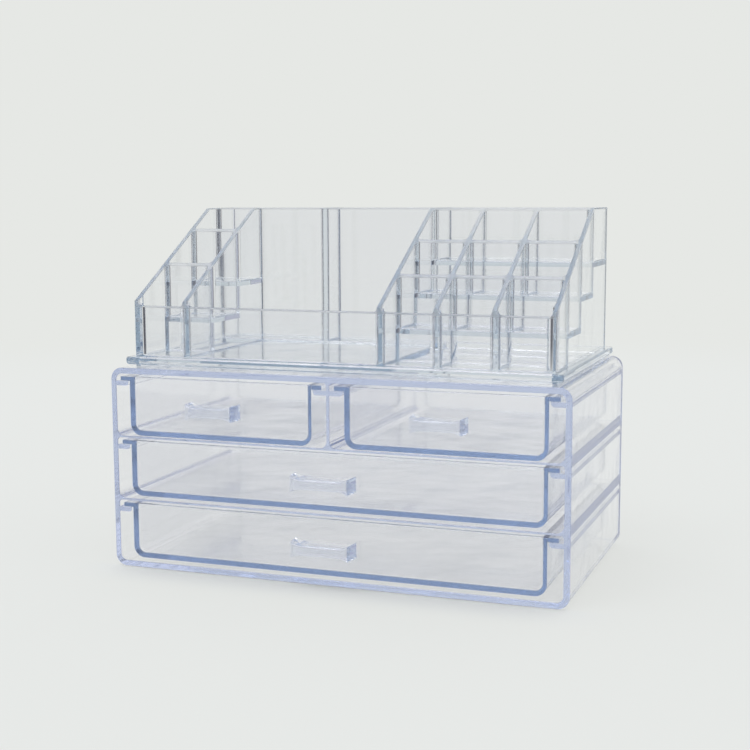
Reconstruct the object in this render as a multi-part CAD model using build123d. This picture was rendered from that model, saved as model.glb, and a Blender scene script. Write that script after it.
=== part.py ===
from build123d import *
import os

# Clear moulded organizer: a cabinet with four hanging drawers and a sorting tray that lifts off.
# Millimetres. The origin is on the resting surface under the middle of the cabinet.
# The drawers open towards -Y and +Z is up.

# Cabinet
case_width = 240.0
case_depth = 130.0
case_height = 104.0
case_wall = 3.0
case_back_wall = 2.5
case_corner_radius = 6.0
case_rim_radius = 0.6
shelf_thickness = 1.0
partition_thickness = 1.6
lower_cell_height = 32.0
middle_cell_height = 31.8
cell_corner_radius = 1.6
cell_floor_radius = 3.5
cell_rim_radius = 0.4

# Runners under the ceiling of each cell
rail_width = 7.0
rail_thickness = 2.4
rail_corner_radius = 1.8
rail_running_gap = 0.2

# Drawers
drawer_wall = 2.2
drawer_floor = 2.2
drawer_corner_radius = 6.0
drawer_edge_radius = 0.5
drawer_inside_radius = 0.8
drawer_back_clearance = 2.5
drawer_side_clearance = 0.8
flange_thickness = 2.1
flange_tip_clearance = 2.5
upper_ceiling_gap = 1.5
middle_ceiling_gap = 1.3
lower_ceiling_gap = 1.4
upper_floor_gap = 0.5
middle_floor_gap = 1.8
lower_floor_gap = 2.2

# Pulls
small_pull_width = 27.0
wide_pull_width = 32.0
pull_taper = 1.1
pull_offset = -1.4
pull_end_height = 7.8
pull_waist_height = 5.0
pull_flare = 6.5
pull_reach = 10.0
pull_edge_radius = 1.0
pull_glue_gap = 0.1

# Tray plate, set back from the cabinet's edges, on a foot rim
tray_seat_gap = 0.1
tray_front_setback = 5.0
tray_back_setback = 0.3
tray_side_setback = 5.5
plate_thickness = 4.0
plate_corner_radius = 2.2
plate_edge_radius = 1.6
plate_rim_radius = 1.0
foot_height = 1.0

# Tray walls
lip_front = 4.0
lip_back = 2.2
lip_side = 4.0
tray_wall = 2.2
tray_floor = 2.2
tray_corner_radius = 0.9
tray_wall_height = 74.9
front_wall_height = 26.1
slant_front_height = 28.5
slant_run = 83.0
notch_radius = 2.2
pocket_corner_radius = 2.3
front_corner_radius = 5.0
pocket_floor_radius = 1.0
tray_rim_radius = 0.5

# Tray compartments
left_column_width = 25.6
left_rows = 3
left_step_rise = 17.4
right_column_width = 26.5
right_columns = 3
right_front_row_depth = 22.3
right_rows = 3
right_step_rise = 15.6
back_bin_depth = 21.7
high_bin_depth = 32.0

# Cuts run past the solid by this much
overrun = 5.0

# An edge belongs to the tray's rim when these points of it lie this close to the rim
rim_test_shares = (0, 0.25, 0.5, 0.75, 1)
rim_test_gap = 0.001


def depth_prism(sketch, y_front, y_back):
    """A sketch drawn in X and Z, run from y_front to y_back."""
    plane = Plane(origin=(0, y_back, 0), x_dir=(1, 0, 0), z_dir=(0, -1, 0))
    return extrude(plane * sketch, amount=y_back - y_front)


def upright_prism(sketch, z_low, z_high):
    """A sketch drawn in X and Y, run from z_low to z_high."""
    return extrude(Pos(0, 0, z_low) * sketch, amount=z_high - z_low)


def width_prism(sketch, x_low, x_high):
    """A sketch drawn in Y and Z, run from x_low to x_high."""
    plane = Plane(origin=(x_low, 0, 0), x_dir=(0, 1, 0), z_dir=(1, 0, 0))
    return extrude(plane * sketch, amount=x_high - x_low)


def span_rectangle(low, high, radius=0):
    """A rectangle between two corners, with rounded corners where a radius is given."""
    width = high[0] - low[0]
    height = high[1] - low[1]
    centre = Pos((low[0] + high[0]) / 2, (low[1] + high[1]) / 2)
    if radius == 0:
        return centre * Rectangle(width, height)
    return centre * RectangleRounded(width, height, radius)


def span_box(low, high):
    """A box between two corners."""
    return upright_prism(span_rectangle(low[:2], high[:2]), low[2], high[2])


def round_lower_corners(sketch, radius):
    """The sketch with its two lowest corners rounded."""
    return fillet(sketch.vertices().group_by(Axis.Y)[0], radius)


def round_ends(solid, axis, radius):
    """The solid with the edges at its two ends along an axis rounded."""
    ends = solid.edges().group_by(axis)
    return fillet(ends[0] + ends[-1], radius)


# Levels and places that the pieces share
case_front = -case_depth / 2
case_back = case_depth / 2
inner_half_width = case_width / 2 - case_wall
lower_floor_level = case_wall
lower_ceiling_level = lower_floor_level + lower_cell_height
middle_floor_level = lower_ceiling_level + shelf_thickness
middle_ceiling_level = middle_floor_level + middle_cell_height
upper_floor_level = middle_ceiling_level + shelf_thickness
upper_ceiling_level = case_height - case_wall
half_partition = partition_thickness / 2
drawer_side_gap = rail_width + drawer_side_clearance
flange_projection = drawer_side_gap - flange_tip_clearance
drawer_back = case_back - case_back_wall - drawer_back_clearance


class Cell:
    """One opening of the cabinet, and the drawer that hangs in it."""

    def __init__(self, drawer, pull, pull_width, x_span, z_span, gaps):
        self.drawer = drawer
        self.pull = pull
        self.pull_width = pull_width
        self.x_low, self.x_high = x_span
        self.z_low, self.z_high = z_span
        floor_gap, ceiling_gap = gaps
        self.drawer_left = self.x_low + drawer_side_gap
        self.drawer_right = self.x_high - drawer_side_gap
        self.drawer_bottom = self.z_low + floor_gap
        self.drawer_top = self.z_high - ceiling_gap
        self.rail_top = self.drawer_top - flange_thickness - rail_running_gap


lower_span = (lower_floor_level, lower_ceiling_level)
middle_span = (middle_floor_level, middle_ceiling_level)
upper_span = (upper_floor_level, upper_ceiling_level)
full_width = (-inner_half_width, inner_half_width)
left_half = (-inner_half_width, -half_partition)
right_half = (half_partition, inner_half_width)
upper_gaps = (upper_floor_gap, upper_ceiling_gap)
middle_gaps = (middle_floor_gap, middle_ceiling_gap)
lower_gaps = (lower_floor_gap, lower_ceiling_gap)
cells = [
    Cell("small_drawer_left", "small_pull_left", small_pull_width, left_half, upper_span, upper_gaps),
    Cell("small_drawer_right", "small_pull_right", small_pull_width, right_half, upper_span, upper_gaps),
    Cell("middle_drawer", "middle_pull", wide_pull_width, full_width, middle_span, middle_gaps),
    Cell("bottom_drawer", "bottom_pull", wide_pull_width, full_width, lower_span, lower_gaps),
]


def cell_rails(cell):
    """The two rails of a cell, rounded below at the tip and rooted in the walls beside it."""
    root = min(case_wall, partition_thickness) / 2
    section = Rectangle(rail_width + root, rail_thickness)
    tip = section.vertices().group_by(Axis.Y)[0].sort_by(Axis.X)[-1]
    section = fillet(tip, rail_corner_radius)
    level = cell.rail_top - rail_thickness / 2
    reach = (rail_width - root) / 2
    rail_front = case_front + cell_rim_radius
    rail_back = case_back - case_back_wall / 2
    left = depth_prism(Pos(cell.x_low + reach, level) * section, rail_front, rail_back)
    section = mirror(section, Plane.YZ)
    right = depth_prism(Pos(cell.x_high - reach, level) * section, rail_front, rail_back)
    return [left, right]


def cabinet_shell():
    """A rounded tube closed at the back, with two shelves, a partition and rails."""
    middle = Pos(0, case_height / 2)
    outline = middle * RectangleRounded(case_width, case_height, case_corner_radius)
    shell = round_ends(depth_prism(outline, case_front, case_back), Axis.Y, case_rim_radius)
    bore_radius = case_corner_radius - case_wall
    bore = middle * RectangleRounded(2 * inner_half_width, case_height - 2 * case_wall, bore_radius)
    for cell in cells:
        opening = span_rectangle((cell.x_low, cell.z_low), (cell.x_high, cell.z_high))
        levels = opening.vertices().group_by(Axis.Y)
        opening = fillet(levels[-1], cell_corner_radius)
        opening = round_lower_corners(opening, cell_floor_radius)
        shell -= depth_prism(opening & bore, case_front - overrun, case_back - case_back_wall)
    front_face = shell.faces().sort_by(Axis.Y)[0]
    opening_edges = [edge for wire in front_face.inner_wires() for edge in wire.edges()]
    shell = fillet(opening_edges, cell_rim_radius)
    for cell in cells:
        for rail in cell_rails(cell):
            shell += rail
    return shell


def drawer(cell):
    """An open box with rounded lower edges, hung by a flange along each side."""
    outline = span_rectangle((cell.drawer_left, cell.drawer_bottom), (cell.drawer_right, cell.drawer_top))
    outline = round_lower_corners(outline, drawer_corner_radius)
    box = round_ends(depth_prism(outline, case_front, drawer_back), Axis.Y, drawer_edge_radius)
    inside = span_rectangle(
        (cell.drawer_left + drawer_wall, cell.drawer_bottom + drawer_floor),
        (cell.drawer_right - drawer_wall, cell.drawer_top + overrun),
    )
    inside = round_lower_corners(inside, drawer_corner_radius - drawer_wall)
    inside = depth_prism(inside, case_front + drawer_wall, drawer_back - drawer_wall)
    box -= round_ends(inside, Axis.Y, drawer_inside_radius)
    flange_front = case_front + drawer_edge_radius
    flange_back = drawer_back - drawer_edge_radius
    flange_low = cell.drawer_top - flange_thickness
    for wall, tip in (
        (cell.drawer_left + drawer_wall, cell.drawer_left - flange_projection),
        (cell.drawer_right - drawer_wall, cell.drawer_right + flange_projection),
    ):
        box += span_box(
            (min(wall, tip), flange_front, flange_low),
            (max(wall, tip), flange_back, cell.drawer_top),
        )
    return box


def pull_outline(width):
    """A bar with a straight waist that flares to both ends, drawn in X and Z."""
    half_width = width / 2
    half_waist = half_width - pull_flare
    half_end = pull_end_height / 2
    half_neck = pull_waist_height / 2
    flare = TangentArc((half_waist, half_neck), (half_width, half_end), tangent=(1, 0))
    upper_right = [Line((0, half_neck), (half_waist, half_neck)), flare]
    quarter = Curve() + upper_right
    half = quarter + mirror(quarter, Plane.YZ)
    end_edges = [
        Line((half_width, half_end), (half_width, -half_end)),
        Line((-half_width, half_end), (-half_width, -half_end)),
    ]
    return make_face(half + mirror(half, Plane.XZ) + end_edges)


def drawer_pull(cell):
    """The waisted grip, narrower at its face, glued to the middle of the drawer's front."""
    middle_x = (cell.drawer_left + cell.drawer_right) / 2 + pull_offset
    middle_z = (cell.drawer_bottom + cell.drawer_top) / 2
    centre = Pos(middle_x, middle_z)
    root_y = case_front - pull_glue_gap
    sections = []
    face_width = cell.pull_width - 2 * pull_taper
    for width, y in ((cell.pull_width, root_y), (face_width, root_y - pull_reach)):
        plane = Plane(origin=(0, y, 0), x_dir=(1, 0, 0), z_dir=(0, -1, 0))
        sections.append(plane * centre * pull_outline(width))
    grip = loft(sections, ruled=True)
    return fillet(grip.edges().group_by(Axis.Y)[0], pull_edge_radius)


# Levels and places of the tray
foot_level = case_height + tray_seat_gap
plate_low = foot_level + foot_height
plate_top = plate_low + plate_thickness
tray_top = plate_top + tray_wall_height
plate_front = case_front + tray_front_setback
plate_back = case_back - tray_back_setback
plate_half_width = case_width / 2 - tray_side_setback
wall_front = plate_front + lip_front
wall_back = plate_back - lip_back
wall_half_width = plate_half_width - lip_side
inner_front = wall_front + tray_wall
inner_back = wall_back - tray_wall
tray_inner_half = wall_half_width - tray_wall
left_block_right = -tray_inner_half + left_column_width
right_pitch = right_column_width + tray_wall
right_block_left = tray_inner_half - right_columns * right_pitch + tray_wall
centre_left = left_block_right + tray_wall
centre_right = right_block_left - tray_wall
slant_end = wall_front + slant_run
slant_slope = (tray_wall_height - slant_front_height) / slant_run
sill_level = plate_top + front_wall_height


def row_spans(first, depths):
    """Front and back of rows of the given depths, one wall apart."""
    spans = []
    front = first
    for depth in depths:
        spans.append((front, front + depth))
        front += depth + tray_wall
    return spans


tray_inner_depth = inner_back - inner_front
left_row_depth = (tray_inner_depth - back_bin_depth) / left_rows - tray_wall
left_row_spans = row_spans(inner_front, [left_row_depth] * left_rows)
right_stair_depth = tray_inner_depth - high_bin_depth - right_front_row_depth - tray_wall
right_row_depth = right_stair_depth / (right_rows - 1) - tray_wall
right_row_depths = [right_front_row_depth] + [right_row_depth] * (right_rows - 1)
right_row_spans = row_spans(inner_front, right_row_depths)
left_block_back = left_row_spans[-1][1]
right_block_back = right_row_spans[-1][1]


def tray_pockets():
    """Low corner, high corner and floor level of each compartment."""
    pockets = []
    for row, (front, back) in enumerate(left_row_spans):
        floor = plate_top + row * left_step_rise
        pockets.append(((-tray_inner_half, front), (left_block_right, back), floor))
    pockets.append(((centre_left, inner_front), (centre_right, left_block_back), plate_top))
    for column in range(right_columns):
        left = right_block_left + column * right_pitch
        for row, (front, back) in enumerate(right_row_spans):
            floor = plate_top + row * right_step_rise
            pockets.append(((left, front), (left + right_column_width, back), floor))
    back_front = left_block_back + tray_wall
    back_width = (centre_right + tray_inner_half - tray_wall) / 2
    back_split = -tray_inner_half + back_width
    pockets.append(((-tray_inner_half, back_front), (back_split, inner_back), plate_top))
    pockets.append(((back_split + tray_wall, back_front), (centre_right, inner_back), plate_top))
    high_front = right_block_back + tray_wall
    high_floor = plate_top + right_rows * right_step_rise
    pockets.append(((right_block_left, high_front), (tray_inner_half, inner_back), high_floor))
    return pockets


def is_tray_corner(vertex):
    """Whether a corner of a compartment lies in one of the tray's two front corners."""
    at_front = abs(vertex.Y - inner_front) < rim_test_gap
    return at_front and abs(abs(vertex.X) - tray_inner_half) < rim_test_gap


def pocket_outline(low, high):
    """A rounded rectangle, rounder in the tray's front corners."""
    outline = span_rectangle(low, high)
    plain_corners = [vertex for vertex in outline.vertices() if not is_tray_corner(vertex)]
    outline = fillet(plain_corners, pocket_corner_radius)
    front_corners = outline.vertices().filter_by(is_tray_corner)
    if front_corners:
        outline = fillet(front_corners, front_corner_radius)
    return outline


def stair_hollows():
    """Low and high corners of the hollows under the raised floors, open below."""
    hollows = []
    for row in range(1, left_rows):
        ceiling = plate_top + row * left_step_rise - tray_floor
        low = (-tray_inner_half, left_row_spans[row][0], foot_level - overrun)
        hollows.append((low, (left_block_right, left_block_back, ceiling)))
    stair_fronts = [front for front, back in right_row_spans[1:]] + [right_block_back + tray_wall]
    for step, front in enumerate(stair_fronts, start=1):
        ceiling = plate_top + step * right_step_rise - tray_floor
        low = (right_block_left, front, foot_level - overrun)
        hollows.append((low, (tray_inner_half, inner_back, ceiling)))
    return hollows


def front_notches():
    """Left and right ends of the stretches of front wall between the upright walls."""
    spans = [(-tray_inner_half, left_block_right), (centre_left, centre_right)]
    for column in range(right_columns):
        left = right_block_left + column * right_pitch
        spans.append((left, left + right_column_width))
    return spans


def rim_height(y):
    """Level of the walls' upper edges at a distance from front to back."""
    return min(tray_top, tray_top + slant_slope * (y - slant_end))


def is_rim(edge):
    """Whether an edge runs along the top of the walls, or around a notch on the front's outside."""
    points = [edge @ share for share in rim_test_shares]
    if all(abs(point.Y - slant_end) < rim_test_gap for point in points):
        return False
    if all(abs(point.Z - rim_height(point.Y)) < rim_test_gap for point in points):
        return True
    outside = all(abs(point.Y - wall_front) < rim_test_gap for point in points)
    return outside and all(point.Z > sill_level - rim_test_gap for point in points)


def top_tray():
    """One moulding: a plate on a foot rim, stepped pockets and walls that slant to the front."""
    plate_low_corner = (-plate_half_width, plate_front)
    plate_high_corner = (plate_half_width, plate_back)
    plate = span_rectangle(plate_low_corner, plate_high_corner, plate_corner_radius)
    tray = upright_prism(plate, plate_low, plate_top)
    tray = fillet(tray.edges().group_by(Axis.Z)[0], plate_edge_radius)
    tray = fillet(tray.edges().group_by(Axis.Z)[-1], plate_rim_radius)
    wall_low_corner = (-wall_half_width, wall_front)
    wall_high_corner = (wall_half_width, wall_back)
    walls = span_rectangle(wall_low_corner, wall_high_corner, tray_corner_radius)
    tray += upright_prism(walls, foot_level, tray_top)
    recess = span_rectangle((-tray_inner_half, inner_front), (tray_inner_half, inner_back))
    tray -= upright_prism(recess, foot_level - overrun, plate_top - tray_floor)
    for low, high in stair_hollows():
        tray -= span_box(low, high)
    for low, high, floor in tray_pockets():
        pocket = upright_prism(pocket_outline(low, high), floor, tray_top + overrun)
        tray -= fillet(pocket.edges().group_by(Axis.Z)[0], pocket_floor_radius)
    ahead = wall_front - overrun
    slant = make_face(Polyline(
        (ahead, rim_height(ahead)),
        (slant_end, tray_top),
        (slant_end, tray_top + overrun),
        (ahead, tray_top + overrun),
        close=True,
    ))
    tray -= width_prism(slant, -wall_half_width - overrun, wall_half_width + overrun)
    for left, right in front_notches():
        notch = span_rectangle((left, sill_level), (right, tray_top))
        notch = round_lower_corners(notch, notch_radius)
        tray -= depth_prism(notch, ahead, inner_front + pocket_corner_radius)
    return fillet(tray.edges().filter_by(is_rim), tray_rim_radius)


pieces = {"cabinet_shell": cabinet_shell(), "top_tray": top_tray()}
for cell in cells:
    pieces[cell.drawer] = drawer(cell)
    pieces[cell.pull] = drawer_pull(cell)

os.makedirs("parts", exist_ok=True)
for name, solid in pieces.items():
    export_step(solid, os.path.join("parts", name + ".step"))
    print(name, round(solid.volume, 1), solid.is_valid)
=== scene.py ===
import math

import bpy
from mathutils import Matrix, Vector


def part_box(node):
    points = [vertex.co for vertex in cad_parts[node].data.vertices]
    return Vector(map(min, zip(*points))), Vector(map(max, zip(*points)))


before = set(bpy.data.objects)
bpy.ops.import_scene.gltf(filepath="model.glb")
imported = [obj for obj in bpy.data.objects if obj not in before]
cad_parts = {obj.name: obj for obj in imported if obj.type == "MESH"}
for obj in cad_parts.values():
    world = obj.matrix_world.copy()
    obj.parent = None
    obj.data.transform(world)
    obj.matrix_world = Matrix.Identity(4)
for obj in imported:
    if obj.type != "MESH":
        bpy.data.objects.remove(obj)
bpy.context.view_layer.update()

# Rays pass many clear walls before they leave the object
clear_bounces = 256
diffuse_bounces = 4

# Sockets of the Mix node, which share their names
mix_share = 0
mix_numbers = (2, 3)
mix_number_result = 0
mix_colours = (6, 7)
mix_colour_result = 2

# Camera, in metres and degrees
camera_place = Vector((0.2472, -0.6672, 0.1917))
camera_yaw = -20.281
camera_pitch = -7.596
camera_roll = -0.248
camera_lens = 65.25

# Light levels, as linear colour
backdrop_colour = (0.791, 0.807, 0.783)
ceiling_colour = (1.05, 1.05, 1.05)
ceiling_start = 0.2
ceiling_full = 0.6
dark_colour = (0.08, 0.08, 0.09)
dim_colour = (0.25, 0.25, 0.27)
room_colour = (0.56, 0.55, 0.63)
# A round soft lamp above the front, between these cosines of the angle from its middle
lamp_direction = Vector((-0.25, -0.35, 0.9)).normalized()
lamp_edge = 0.965
lamp_full = 0.985
lamp_colour = (4.5, 4.5, 4.5)
# Colours around the object, by the cosine of the angle from the camera's view
around = (
    (-0.7, room_colour),
    (-0.4, dim_colour),
    (-0.1, dark_colour),
    (0.22, dark_colour),
    (0.5, dim_colour),
    (0.74, backdrop_colour),
)

# Plastic: clear colour, and the tint of light that runs a long way inside it
case_refraction = 1.5
case_haze = (0.9995, 0.995, 1.0)
case_tint = (0.2, 0.36, 0.76)
case_tint_density = 4.8
case_gloss = (0.02, 0.05)
case_ripple = 0.0001
drawer_refraction = 1.5
drawer_haze = (0.9995, 0.995, 1.0)
drawer_tint = (0.185, 0.39, 0.7)
drawer_tint_density = 12.0
drawer_gloss = (0.05, 0.09)
drawer_ripple = 0.00022
tray_refraction = 1.55
tray_haze = (0.9955, 0.997, 1.0)
tray_tint = (0.16, 0.37, 0.57)
tray_tint_density = 10.0
tray_gloss = (0.02, 0.05)
tray_ripple = 0.0001
pull_refraction = 1.55
pull_haze = (0.998, 0.997, 1.0)
pull_tint = (0.2, 0.4, 0.75)
pull_tint_density = 12.0
pull_gloss = (0.003, 0.01)
pull_ripple = 0.00005
# Soft ripples and uneven gloss of the moulded faces: lump lengths in metres, and layers of detail
ripple_length = 0.022
ripple_detail = 1.0
smear_length = 0.04
smear_detail = 4.0
smear_span = (0.35, 0.65)
# Rough wall tops of the tray with a painted grey shade in their colour: the slanted line that they
# follow, and the sill in front
rim_front = (-0.056, 0.1376)
rim_back = (0.027, 0.184)
rim_depth = 0.0008
sill_back = -0.0536
sill_level = 0.1352
# Painted shade: a greyer colour for the wall tops, standing in for the grey lines that light makes along
# them
rim_painted_shade = (0.82, 0.825, 0.86)
rim_roughness = 0.35

# Floor: where it takes the clear plastic's shade, its colour is painted a little bluer, a painted tint
# of the shade cast through the blue plastic
painted_blue_shade_colour = (0.77, 0.8, 0.82)
floor_reach = 6.0
floor_level = -0.0003
floor_near = 0.75
floor_far = 1.2
# Share of the floor's light that the object can shade: along its front edge and elsewhere
edge_shade = 0.75
open_shade = 0.18
edge_shade_reach = 0.03
under_shade_reach = 0.004


class Nodes:
    """Short names for building one node tree."""

    def __init__(self, tree):
        self.tree = tree

    def add(self, kind, **settings):
        node = self.tree.nodes.new(kind)
        for name, value in settings.items():
            setattr(node, name, value)
        return node

    def link(self, source, target):
        self.tree.links.new(source, target)


def noise(tree, place, length, detail):
    """Soft random values from 0 to 1 whose lumps are about as long as given."""
    texture = tree.add("ShaderNodeTexNoise")
    texture.inputs["Scale"].default_value = 1 / length
    texture.inputs["Detail"].default_value = detail
    tree.link(place, texture.inputs["Vector"])
    return texture.outputs["Fac"]


def clear_plastic(name, refraction, haze, tint, tint_density, gloss, ripple):
    """Clear moulded plastic with soft ripples, tinted where light runs a long way inside it."""
    material = bpy.data.materials.new(name)
    material.use_nodes = True
    tree = Nodes(material.node_tree)
    shader = material.node_tree.nodes["Principled BSDF"]
    output = material.node_tree.nodes["Material Output"]
    shader.inputs["Base Color"].default_value = (*haze, 1.0)
    shader.inputs["Transmission Weight"].default_value = 1.0
    shader.inputs["IOR"].default_value = refraction
    absorption = tree.add("ShaderNodeVolumeAbsorption")
    absorption.inputs["Color"].default_value = (*tint, 1.0)
    absorption.inputs["Density"].default_value = tint_density
    tree.link(absorption.outputs["Volume"], output.inputs["Volume"])
    place = tree.add("ShaderNodeTexCoord").outputs["Object"]
    smear = tree.add("ShaderNodeMapRange")
    smear.inputs["From Min"].default_value, smear.inputs["From Max"].default_value = smear_span
    smear.inputs["To Min"].default_value, smear.inputs["To Max"].default_value = gloss
    tree.link(noise(tree, place, smear_length, smear_detail), smear.inputs["Value"])
    tree.link(smear.outputs["Result"], shader.inputs["Roughness"])
    bump = tree.add("ShaderNodeBump")
    bump.inputs["Distance"].default_value = ripple
    tree.link(noise(tree, place, ripple_length, ripple_detail), bump.inputs["Height"])
    tree.link(bump.outputs["Normal"], shader.inputs["Normal"])
    return material


def rim_share(tree, place):
    """1 along the tops of the tray's walls, and 0 below them."""
    slope = (rim_back[1] - rim_front[1]) / (rim_back[0] - rim_front[0])
    split = tree.add("ShaderNodeSeparateXYZ")
    tree.link(place, split.inputs["Vector"])
    line = tree.add("ShaderNodeMath", operation="MULTIPLY_ADD")
    line.inputs[1].default_value = slope
    line.inputs[2].default_value = rim_front[1] - slope * rim_front[0] - rim_depth
    tree.link(split.outputs["Y"], line.inputs[0])
    level = tree.add("ShaderNodeMath", operation="MINIMUM")
    level.inputs[1].default_value = rim_back[1] - rim_depth
    tree.link(line.outputs["Value"], level.inputs[0])
    top = tree.add("ShaderNodeMath", operation="GREATER_THAN")
    tree.link(split.outputs["Z"], top.inputs[0])
    tree.link(level.outputs["Value"], top.inputs[1])
    front = tree.add("ShaderNodeMath", operation="LESS_THAN")
    front.inputs[1].default_value = sill_back
    tree.link(split.outputs["Y"], front.inputs[0])
    high = tree.add("ShaderNodeMath", operation="GREATER_THAN")
    high.inputs[1].default_value = sill_level - rim_depth
    tree.link(split.outputs["Z"], high.inputs[0])
    sill = tree.add("ShaderNodeMath", operation="MULTIPLY")
    tree.link(front.outputs["Value"], sill.inputs[0])
    tree.link(high.outputs["Value"], sill.inputs[1])
    rim = tree.add("ShaderNodeMath", operation="MAXIMUM")
    tree.link(top.outputs["Value"], rim.inputs[0])
    tree.link(sill.outputs["Value"], rim.inputs[1])
    return rim.outputs["Value"]


def frost_and_grey_shade_rims(material):
    """Gives the tray's plastic rougher wall tops, whose colour is painted greyer as painted shade."""
    tree = Nodes(material.node_tree)
    shader = material.node_tree.nodes["Principled BSDF"]
    rim = rim_share(tree, tree.add("ShaderNodeTexCoord").outputs["Object"])
    # Painted shade: the wall tops' colour is mixed towards a greyer one
    colour = tree.add("ShaderNodeMix", data_type="RGBA")
    colour.inputs[mix_colours[0]].default_value = shader.inputs["Base Color"].default_value
    colour.inputs[mix_colours[1]].default_value = (*rim_painted_shade, 1.0)
    tree.link(rim, colour.inputs[mix_share])
    tree.link(colour.outputs[mix_colour_result], shader.inputs["Base Color"])
    smooth = shader.inputs["Roughness"].links[0].from_socket
    frost = tree.add("ShaderNodeMix")
    frost.inputs[mix_numbers[1]].default_value = rim_roughness
    tree.link(rim, frost.inputs[mix_share])
    tree.link(smooth, frost.inputs[mix_numbers[0]])
    tree.link(frost.outputs[mix_number_result], shader.inputs["Roughness"])
    return material


def dress(word, material):
    """Gives the material to every CAD node whose name holds the word."""
    for name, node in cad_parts.items():
        if word in name:
            node.data.materials.clear()
            node.data.materials.append(material)


def surroundings(tree, direction):
    """The colour seen along a direction: the backdrop, dark sides and the room behind the camera."""
    view = Vector((math.sin(math.radians(camera_yaw)), math.cos(math.radians(camera_yaw)), 0))
    facing = tree.add("ShaderNodeVectorMath", operation="DOT_PRODUCT")
    facing.inputs[1].default_value = view
    tree.link(direction, facing.inputs[0])
    share = tree.add("ShaderNodeMapRange")
    share.inputs["From Min"].default_value = -1
    tree.link(facing.outputs["Value"], share.inputs["Value"])
    ramp = tree.add("ShaderNodeValToRGB")
    ramp.color_ramp.interpolation = "EASE"
    stops = ramp.color_ramp.elements
    while len(stops) < len(around):
        stops.new(1.0)
    for stop, (cosine, colour) in zip(stops, around):
        stop.position = (cosine + 1) / 2
        stop.color = (*colour, 1.0)
    tree.link(share.outputs["Result"], ramp.inputs["Fac"])
    return ramp.outputs["Color"]


def shade_share(tree, position):
    """How far the floor takes shade: most along the case's front edge, little elsewhere."""
    case_low, case_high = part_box("cabinet_shell")
    split = tree.add("ShaderNodeSeparateXYZ")
    tree.link(position, split.inputs["Vector"])
    depth = tree.add("ShaderNodeMapRange")
    depth.inputs["From Min"].default_value = case_low.y + under_shade_reach
    depth.inputs["From Max"].default_value = case_low.y - edge_shade_reach
    tree.link(split.outputs["Y"], depth.inputs["Value"])
    curve = tree.add("ShaderNodeValToRGB")
    curve.color_ramp.interpolation = "EASE"
    edge = under_shade_reach / (under_shade_reach + edge_shade_reach)
    stops = curve.color_ramp.elements
    stops.new(edge)
    for stop, place, level in zip(stops, (0, edge, 1), (0, 1, 0)):
        stop.position = place
        stop.color = (level, level, level, 1.0)
    tree.link(depth.outputs["Result"], curve.inputs["Fac"])
    side = tree.add("ShaderNodeMath", operation="ABSOLUTE")
    tree.link(split.outputs["X"], side.inputs[0])
    width = tree.add("ShaderNodeMapRange", interpolation_type="SMOOTHSTEP")
    width.inputs["From Min"].default_value = case_high.x + edge_shade_reach
    width.inputs["From Max"].default_value = case_high.x - edge_shade_reach
    tree.link(side.outputs["Value"], width.inputs["Value"])
    along = tree.add("ShaderNodeMath", operation="MULTIPLY")
    tree.link(curve.outputs["Color"], along.inputs[0])
    tree.link(width.outputs["Result"], along.inputs[1])
    share = tree.add("ShaderNodeMath", operation="MULTIPLY_ADD")
    share.inputs[1].default_value = edge_shade - open_shade
    share.inputs[2].default_value = open_shade
    tree.link(along.outputs["Value"], share.inputs[0])
    return share.outputs["Value"]


def make_floor():
    """A large plane that takes the object's shadow nearby and runs into the surroundings further off."""
    mesh = bpy.data.meshes.new("floor")
    low = (-floor_reach, -floor_reach, floor_level)
    high = (floor_reach, floor_reach, floor_level)
    corners = [low, (high[0], low[1], floor_level), high, (low[0], high[1], floor_level)]
    mesh.from_pydata(corners, [], [(0, 1, 2, 3)])
    floor = bpy.data.objects.new("floor", mesh)
    bpy.context.scene.collection.objects.link(floor)
    material = bpy.data.materials.new("floor")
    material.use_nodes = True
    tree = Nodes(material.node_tree)
    material.node_tree.nodes.clear()
    position = tree.add("ShaderNodeNewGeometry")
    distance = tree.add("ShaderNodeVectorMath", operation="LENGTH")
    tree.link(position.outputs["Position"], distance.inputs[0])
    fade = tree.add("ShaderNodeMapRange", interpolation_type="SMOOTHSTEP")
    fade.inputs["From Min"].default_value = floor_near
    fade.inputs["From Max"].default_value = floor_far
    tree.link(distance.outputs["Value"], fade.inputs["Value"])
    # Painted shade tint: the part of the floor that takes the shadow is coloured a little blue, standing
    # in for light passed through the plastic
    shaded = tree.add("ShaderNodeBsdfDiffuse")
    shaded.inputs["Color"].default_value = (*painted_blue_shade_colour, 1.0)
    lit = tree.add("ShaderNodeEmission")
    lit.inputs["Color"].default_value = (*backdrop_colour, 1.0)
    near = tree.add("ShaderNodeMixShader")
    tree.link(shade_share(tree, position.outputs["Position"]), near.inputs["Fac"])
    tree.link(lit.outputs["Emission"], near.inputs[1])
    tree.link(shaded.outputs["BSDF"], near.inputs[2])
    direction = tree.add("ShaderNodeVectorMath", operation="NORMALIZE")
    tree.link(position.outputs["Position"], direction.inputs[0])
    far = tree.add("ShaderNodeEmission")
    tree.link(surroundings(tree, direction.outputs["Vector"]), far.inputs["Color"])
    mix = tree.add("ShaderNodeMixShader")
    tree.link(fade.outputs["Result"], mix.inputs["Fac"])
    tree.link(near.outputs["Shader"], mix.inputs[1])
    tree.link(far.outputs["Emission"], mix.inputs[2])
    output = tree.add("ShaderNodeOutputMaterial")
    tree.link(mix.outputs["Shader"], output.inputs["Surface"])
    mesh.materials.append(material)


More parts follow.
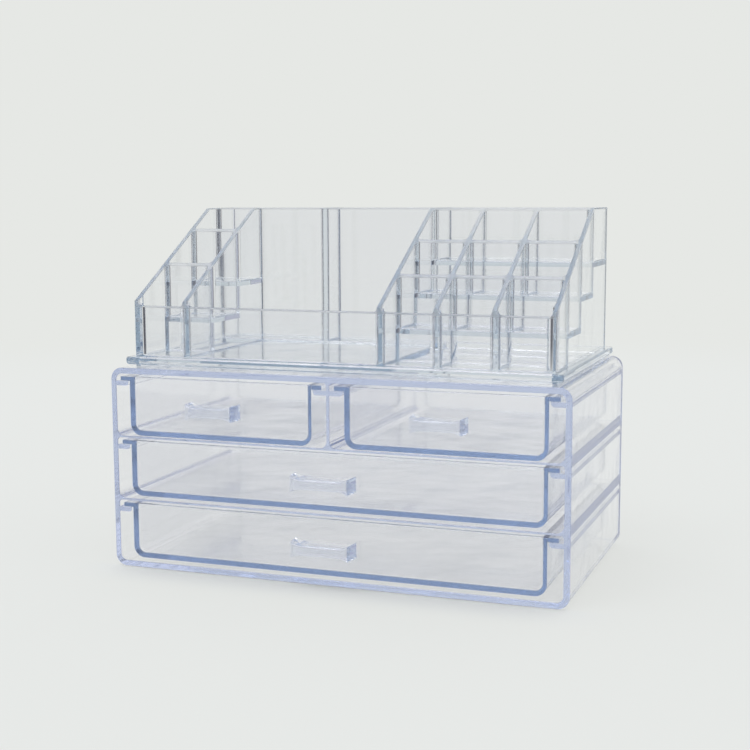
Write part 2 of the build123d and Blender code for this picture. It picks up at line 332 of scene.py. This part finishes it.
def make_world():
    """A soft studio: the surroundings, a bright ceiling above them and a lamp in it."""
    world = bpy.data.worlds.new("studio")
    bpy.context.scene.world = world
    world.use_nodes = True
    tree = Nodes(world.node_tree)
    world.node_tree.nodes.clear()
    direction = tree.add("ShaderNodeTexCoord")
    split = tree.add("ShaderNodeSeparateXYZ")
    tree.link(direction.outputs["Generated"], split.inputs["Vector"])
    above = tree.add("ShaderNodeMapRange", interpolation_type="SMOOTHSTEP")
    above.inputs["From Min"].default_value = ceiling_start
    above.inputs["From Max"].default_value = ceiling_full
    tree.link(split.outputs["Z"], above.inputs["Value"])
    sky = tree.add("ShaderNodeMix", data_type="RGBA")
    sky.inputs[mix_colours[1]].default_value = (*ceiling_colour, 1.0)
    tree.link(above.outputs["Result"], sky.inputs[mix_share])
    tree.link(surroundings(tree, direction.outputs["Generated"]), sky.inputs[mix_colours[0]])
    facing = tree.add("ShaderNodeVectorMath", operation="DOT_PRODUCT")
    facing.inputs[1].default_value = lamp_direction
    tree.link(direction.outputs["Generated"], facing.inputs[0])
    glow = tree.add("ShaderNodeMapRange", interpolation_type="SMOOTHSTEP")
    glow.inputs["From Min"].default_value = lamp_edge
    glow.inputs["From Max"].default_value = lamp_full
    tree.link(facing.outputs["Value"], glow.inputs["Value"])
    lit = tree.add("ShaderNodeMix", data_type="RGBA")
    lit.inputs[mix_colours[1]].default_value = (*lamp_colour, 1.0)
    tree.link(glow.outputs["Result"], lit.inputs[mix_share])
    tree.link(sky.outputs[mix_colour_result], lit.inputs[mix_colours[0]])
    background = tree.add("ShaderNodeBackground")
    tree.link(lit.outputs[mix_colour_result], background.inputs["Color"])
    output = tree.add("ShaderNodeOutputWorld")
    tree.link(background.outputs["Background"], output.inputs["Surface"])


def make_camera():
    """The photograph's viewpoint."""
    yaw = math.radians(camera_yaw)
    pitch = math.radians(camera_pitch)
    roll = math.radians(camera_roll)
    flat = math.cos(pitch)
    forward = Vector((math.sin(yaw) * flat, math.cos(yaw) * flat, math.sin(pitch)))
    level = forward.cross(Vector((0, 0, 1))).normalized()
    rise = level.cross(forward)
    right = level * math.cos(roll) + rise * math.sin(roll)
    up = rise * math.cos(roll) - level * math.sin(roll)
    data = bpy.data.cameras.new("camera")
    data.lens = camera_lens
    camera = bpy.data.objects.new("camera", data)
    turn = Matrix((right, up, -forward)).transposed()
    camera.matrix_world = Matrix.Translation(camera_place) @ turn.to_4x4()
    bpy.context.scene.collection.objects.link(camera)
    bpy.context.scene.camera = camera


scene = bpy.context.scene
scene.view_settings.view_transform = "Standard"
scene.cycles.max_bounces = clear_bounces
scene.cycles.transmission_bounces = clear_bounces
scene.cycles.glossy_bounces = clear_bounces
scene.cycles.diffuse_bounces = diffuse_bounces

case_plastic = clear_plastic(
    "case_plastic", case_refraction, case_haze, case_tint, case_tint_density,
    case_gloss, case_ripple,
)
drawer_plastic = clear_plastic(
    "drawer_plastic", drawer_refraction, drawer_haze, drawer_tint, drawer_tint_density,
    drawer_gloss, drawer_ripple,
)
tray_plastic = clear_plastic(
    "tray_plastic", tray_refraction, tray_haze, tray_tint, tray_tint_density,
    tray_gloss, tray_ripple,
)
pull_plastic = clear_plastic(
    "pull_plastic", pull_refraction, pull_haze, pull_tint, pull_tint_density,
    pull_gloss, pull_ripple,
)
dress("cabinet", case_plastic)
dress("drawer", drawer_plastic)
dress("tray", frost_and_grey_shade_rims(tray_plastic))
dress("pull", pull_plastic)
make_floor()
make_world()
make_camera()
